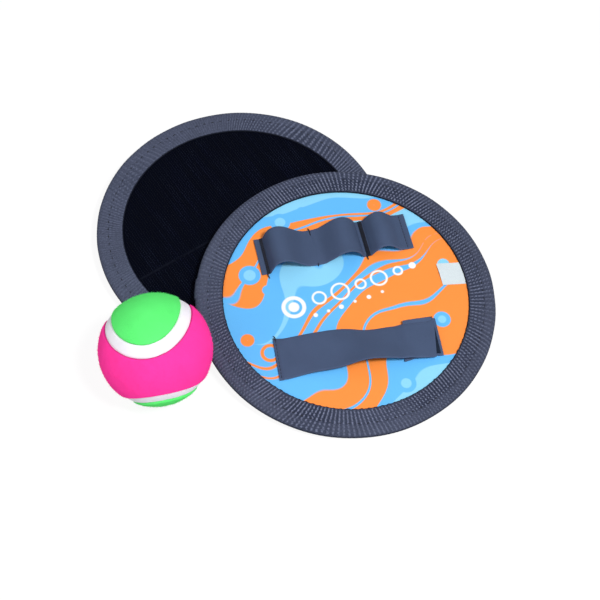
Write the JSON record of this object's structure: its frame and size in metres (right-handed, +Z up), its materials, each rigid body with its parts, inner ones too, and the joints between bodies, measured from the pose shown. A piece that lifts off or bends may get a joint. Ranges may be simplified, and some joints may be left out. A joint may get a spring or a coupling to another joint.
{
  "type": "hook and loop catch set",
  "caption": "Toy catch set: round paddles with a hook face and strapped printed back, edged in dark tape, and a soft felt ball that clings to them.",
  "frame": {"origin": "centre of the bounding box on the floor that the set lies on", "axes": "+Z up from the floor, +X to the right and +Y away from the viewer as in the picture"},
  "size_m": [0.2434, 0.2328, 0.064],
  "materials": {
    "board": "matte",
    "hook_tape": "rows of stiff black hooks",
    "printed_sheet": "satin printed sheet in orange and two blues",
    "binding_tape": "ribbed woven tape, matte",
    "elastic_strap": "fine knitted elastic, matte",
    "hook_patch": "small hooks, matte",
    "label_ribbon": "smooth white ribbon",
    "ball_rubber": "matte",
    "pink_felt": "fuzzy felt",
    "green_felt": "fuzzy felt",
    "white_seam": "smooth, slightly soft edge"
  },
  "bodies": {
    "root": {"rear_core_board": "board", "rear_hook_tape_upper": "hook_tape", "rear_hook_tape_lower": "hook_tape", "rear_printed_back": "printed_sheet", "rear_edge_binding": "binding_tape", "rear_finger_strap": "elastic_strap", "rear_wrist_strap_long": "elastic_strap", "rear_wrist_strap_short": "elastic_strap", "rear_wrist_hook_patch": "hook_patch", "front_core_board": "board", "front_hook_tape_upper": "hook_tape", "front_hook_tape_lower": "hook_tape", "front_printed_back": "printed_sheet", "front_edge_binding": "binding_tape", "front_finger_strap": "elastic_strap", "front_wrist_strap_long": "elastic_strap", "front_wrist_strap_short": "elastic_strap", "front_wrist_hook_patch": "hook_patch", "front_side_label": "label_ribbon", "ball_core": "ball_rubber", "ball_felt_pink": "pink_felt", "ball_felt_green": "green_felt", "ball_seam": "white_seam"}
  },
  "joints": []
}
